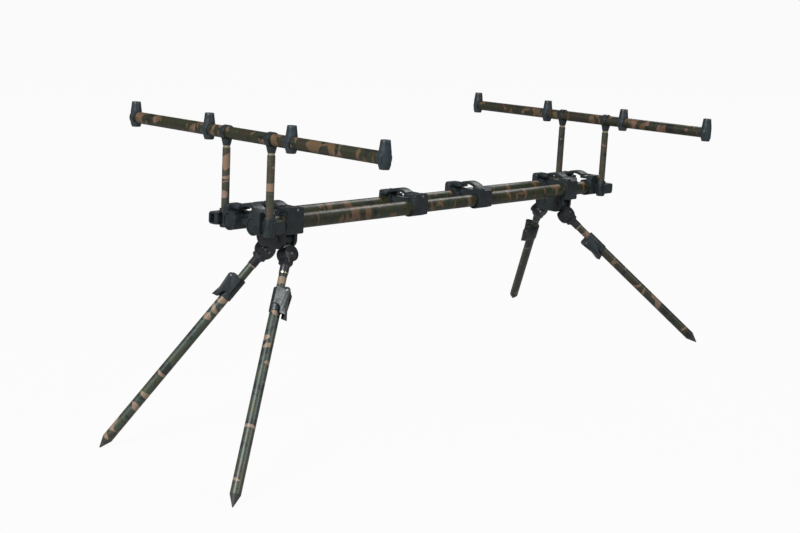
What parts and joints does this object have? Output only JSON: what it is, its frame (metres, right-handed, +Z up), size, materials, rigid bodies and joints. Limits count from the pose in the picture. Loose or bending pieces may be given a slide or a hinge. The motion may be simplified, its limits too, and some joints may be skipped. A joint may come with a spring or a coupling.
{
  "type": "fishing rod pod",
  "caption": "Adjustable rod pod: telescopic twin rails on spiked folding legs, with cross bars of threaded rod mounts.",
  "frame": {"origin": "on the ground, in the middle of the box round the pod", "axes": "+X across the rails, +Y along the ground under the rails from the front (steeper, longer legs) to the rear, +Z up; the rails climb 4.26 degrees towards the front"},
  "size_m": [0.5244, 1.0052, 0.4635],
  "materials": {
    "camo_tube": "satin",
    "fitting": "matte",
    "bolt_steel": "satin",
    "spike_metal": "satin"
  },
  "bodies": {
    "core": {"inner_rails": "camo_tube"},
    "front_frame": {"front_rails": "camo_tube", "front_rail_caps": "fitting", "front_clamp": "fitting"},
    "front_clamp_lever": {"front_clamp_lever": "fitting"},
    "front_head": {"front_head": "fitting", "front_head_bolts": "bolt_steel"},
    "front_head_lever": {"front_head_lever": "fitting"},
    "front_end_block": {"front_end_block": "fitting"},
    "front_end_lever": {"front_end_lever": "fitting"},
    "front_left_socket_lever": {"front_left_socket_lever": "fitting"},
    "front_right_socket_lever": {"front_right_socket_lever": "fitting"},
    "front_bar": {"front_bar": "camo_tube", "front_rod_mounts": "fitting", "front_tees": "fitting", "front_uprights": "camo_tube"},
    "rear_frame": {"rear_rails": "camo_tube", "rear_rail_caps": "fitting", "rear_clamp": "fitting"},
    "rear_clamp_lever": {"rear_clamp_lever": "fitting"},
    "rear_head": {"rear_head": "fitting", "rear_head_bolts": "bolt_steel"},
    "rear_head_lever": {"rear_head_lever": "fitting"},
    "rear_end_block": {"rear_end_block": "fitting"},
    "rear_end_lever": {"rear_end_lever": "fitting"},
    "rear_right_socket_lever": {"rear_right_socket_lever": "fitting"},
    "rear_left_socket_lever": {"rear_left_socket_lever": "fitting"},
    "rear_bar": {"rear_bar": "camo_tube", "rear_rod_mounts": "fitting", "rear_tees": "fitting", "rear_uprights": "camo_tube"},
    "front_left_arm": {"front_left_arm": "fitting"},
    "front_left_leg_top": {"front_left_yoke": "fitting", "front_left_upper_tube": "camo_tube"},
    "front_left_leg_foot": {"front_left_lower_tube": "camo_tube", "front_left_collar": "fitting", "front_left_spike": "spike_metal"},
    "front_left_leg_lever": {"front_left_leg_lever": "fitting"},
    "front_right_arm": {"front_right_arm": "fitting"},
    "front_right_leg_top": {"front_right_yoke": "fitting", "front_right_upper_tube": "camo_tube"},
    "front_right_leg_foot": {"front_right_lower_tube": "camo_tube", "front_right_collar": "fitting", "front_right_spike": "spike_metal"},
    "front_right_leg_lever": {"front_right_leg_lever": "fitting"},
    "rear_right_arm": {"rear_right_arm": "fitting"},
    "rear_right_leg_top": {"rear_right_yoke": "fitting", "rear_right_upper_tube": "camo_tube"},
    "rear_right_leg_foot": {"rear_right_lower_tube": "camo_tube", "rear_right_collar": "fitting", "rear_right_spike": "spike_metal"},
    "rear_right_leg_lever": {"rear_right_leg_lever": "fitting"},
    "rear_left_arm": {"rear_left_arm": "fitting"},
    "rear_left_leg_top": {"rear_left_yoke": "fitting", "rear_left_upper_tube": "camo_tube"},
    "rear_left_leg_foot": {"rear_left_lower_tube": "camo_tube", "rear_left_collar": "fitting", "rear_left_spike": "spike_metal"},
    "rear_left_leg_lever": {"rear_left_leg_lever": "fitting"}
  },
  "joints": [
    {"name": "front_rail_extension", "type": "slide", "parent": "core", "child": "front_frame", "axis": [0, -0.9972, 0.0742], "range_m": [-0.05, 0.13]},
    {"name": "front_clamp_lever_turn", "type": "hinge", "parent": "front_frame", "child": "front_clamp_lever", "pos_m": [0, -0.0277, 0.3169], "axis": [-1, 0, 0], "range_deg": [0, 100]},
    {"name": "front_head_slide", "type": "slide", "parent": "front_frame", "child": "front_head", "axis": [0, -0.9972, 0.0742], "range_m": [-0.19, 0.01]},
    {"name": "front_head_lever_turn", "type": "hinge", "parent": "front_head", "child": "front_head_lever", "pos_m": [0, -0.283, 0.3359], "axis": [-1, 0, 0], "range_deg": [0, 100]},
    {"name": "front_end_block_slide", "type": "slide", "parent": "front_frame", "child": "front_end_block", "axis": [0, -0.9972, 0.0742], "range_m": [-0.012, 0.01]},
    {"name": "front_end_lever_turn", "type": "hinge", "parent": "front_end_block", "child": "front_end_lever", "pos_m": [0, -0.34084, 0.3402], "axis": [1, 0, 0], "range_deg": [0, 100]},
    {"name": "front_left_socket_lever_turn", "type": "hinge", "parent": "front_end_block", "child": "front_left_socket_lever", "pos_m": [-0.0472, -0.35611, 0.32359], "axis": [0, 0.0742, 0.9972], "range_deg": [0, 95]},
    {"name": "front_right_socket_lever_turn", "type": "hinge", "parent": "front_end_block", "child": "front_right_socket_lever", "pos_m": [0.0472, -0.33018, 0.32166], "axis": [0, 0.0742, 0.9972], "range_deg": [0, 95]},
    {"name": "front_bar_height", "type": "slide", "parent": "front_end_block", "child": "front_bar", "axis": [0, 0.0742, 0.9972], "range_m": [-0.06, 0.012]},
    {"name": "rear_rail_extension", "type": "slide", "parent": "core", "child": "rear_frame", "axis": [0, 0.9972, -0.0742], "range_m": [-0.05, 0.13]},
    {"name": "rear_clamp_lever_turn", "type": "hinge", "parent": "rear_frame", "child": "rear_clamp_lever", "pos_m": [0, 0.11939, 0.30595], "axis": [1, 0, 0], "range_deg": [0, 100]},
    {"name": "rear_head_slide", "type": "slide", "parent": "rear_frame", "child": "rear_head", "axis": [0, 0.9972, -0.0742], "range_m": [-0.19, 0.01]},
    {"name": "rear_head_lever_turn", "type": "hinge", "parent": "rear_head", "child": "rear_head_lever", "pos_m": [0, 0.34925, 0.28884], "axis": [1, 0, 0], "range_deg": [0, 100]},
    {"name": "rear_end_block_slide", "type": "slide", "parent": "rear_frame", "child": "rear_end_block", "axis": [0, 0.9972, -0.0742], "range_m": [-0.012, 0.01]},
    {"name": "rear_end_lever_turn", "type": "hinge", "parent": "rear_end_block", "child": "rear_end_lever", "pos_m": [0, 0.42405, 0.28328], "axis": [-1, 0, 0], "range_deg": [0, 100]},
    {"name": "rear_right_socket_lever_turn", "type": "hinge", "parent": "rear_end_block", "child": "rear_right_socket_lever", "pos_m": [0.0472, 0.43669, 0.26458], "axis": [0, 0.0742, 0.9972], "range_deg": [0, 95]},
    {"name": "rear_left_socket_lever_turn", "type": "hinge", "parent": "rear_end_block", "child": "rear_left_socket_lever", "pos_m": [-0.0472, 0.41077, 0.26651], "axis": [0, 0.0742, 0.9972], "range_deg": [0, 95]},
    {"name": "rear_bar_height", "type": "slide", "parent": "rear_end_block", "child": "rear_bar", "axis": [0, 0.0742, 0.9972], "range_m": [-0.06, 0.012]},
    {"name": "front_left_splay", "type": "hinge", "parent": "front_head", "child": "front_left_arm", "pos_m": [-0.0143, -0.2892, 0.29304], "axis": [0, 0.9972, -0.0742], "range_deg": [-16, 16]},
    {"name": "front_left_fold", "type": "hinge", "parent": "front_left_arm", "child": "front_left_leg_top", "pos_m": [-0.02348, -0.29079, 0.27157], "axis": [0.9198, -0.0291, -0.3913], "range_deg": [-10, 121.5]},
    {"name": "front_left_leg_extension", "type": "slide", "parent": "front_left_leg_top", "child": "front_left_leg_foot", "axis": [0.3345, 0.5793, 0.7433], "range_m": [-0.14, 0.02]},
    {"name": "front_left_leg_lever_turn", "type": "hinge", "parent": "front_left_leg_foot", "child": "front_left_leg_lever", "pos_m": [-0.05138, -0.32926, 0.23541], "axis": [0.6374, -0.72, 0.2742], "range_deg": [-110, 0]},
    {"name": "front_right_splay", "type": "hinge", "parent": "front_head", "child": "front_right_arm", "pos_m": [0.0143, -0.2892, 0.29304], "axis": [0, -0.9972, 0.0742], "range_deg": [-16, 16]},
    {"name": "front_right_fold", "type": "hinge", "parent": "front_right_arm", "child": "front_right_leg_top", "pos_m": [0.02348, -0.29079, 0.27157], "axis": [0.9198, 0.0291, 0.3913], "range_deg": [-10, 121.5]},
    {"name": "front_right_leg_extension", "type": "slide", "parent": "front_right_leg_top", "child": "front_right_leg_foot", "axis": [-0.3345, 0.5793, 0.7433], "range_m": [-0.14, 0.02]},
    {"name": "front_right_leg_lever_turn", "type": "hinge", "parent": "front_right_leg_foot", "child": "front_right_leg_lever", "pos_m": [0.05259, -0.31752, 0.2268], "axis": [-0.5055, 0.5554, -0.6603], "range_deg": [-110, 0]},
    {"name": "rear_right_splay", "type": "hinge", "parent": "rear_head", "child": "rear_right_arm", "pos_m": [0.0143, 0.34904, 0.24554], "axis": [0, -0.9972, 0.0742], "range_deg": [-16, 16]},
    {"name": "rear_right_fold", "type": "hinge", "parent": "rear_right_arm", "child": "rear_right_leg_top", "pos_m": [0.02918, 0.3477, 0.22753], "axis": [-0.7716, -0.0472, -0.6343], "range_deg": [-10, 121.5]},
    {"name": "rear_right_leg_extension", "type": "slide", "parent": "rear_right_leg_top", "child": "rear_right_leg_foot", "axis": [-0.5423, -0.4722, 0.6949], "range_m": [-0.14, 0.02]},
    {"name": "rear_right_leg_lever_turn", "type": "hinge", "parent": "rear_right_leg_foot", "child": "rear_right_leg_lever", "pos_m": [0.05638, 0.3681, 0.17844], "axis": [0.7506, -0.6439, 0.1482], "range_deg": [-110, 0]},
    {"name": "rear_left_splay", "type": "hinge", "parent": "rear_head", "child": "rear_left_arm", "pos_m": [-0.0143, 0.34904, 0.24554], "axis": [0, 0.9972, -0.0742], "range_deg": [-16, 16]},
    {"name": "rear_left_fold", "type": "hinge", "parent": "rear_left_arm", "child": "rear_left_leg_top", "pos_m": [-0.02918, 0.3477, 0.22753], "axis": [-0.7716, 0.0472, 0.6343], "range_deg": [-10, 121.5]},
    {"name": "rear_left_leg_extension", "type": "slide", "parent": "rear_left_leg_top", "child": "rear_left_leg_foot", "axis": [0.5423, -0.4722, 0.6949], "range_m": [-0.14, 0.02]},
    {"name": "rear_left_leg_lever_turn", "type": "hinge", "parent": "rear_left_leg_foot", "child": "rear_left_leg_lever", "pos_m": [-0.07028, 0.36826, 0.18939], "axis": [0.3106, -0.6558, -0.6881], "range_deg": [-110, 0]}
  ]
}
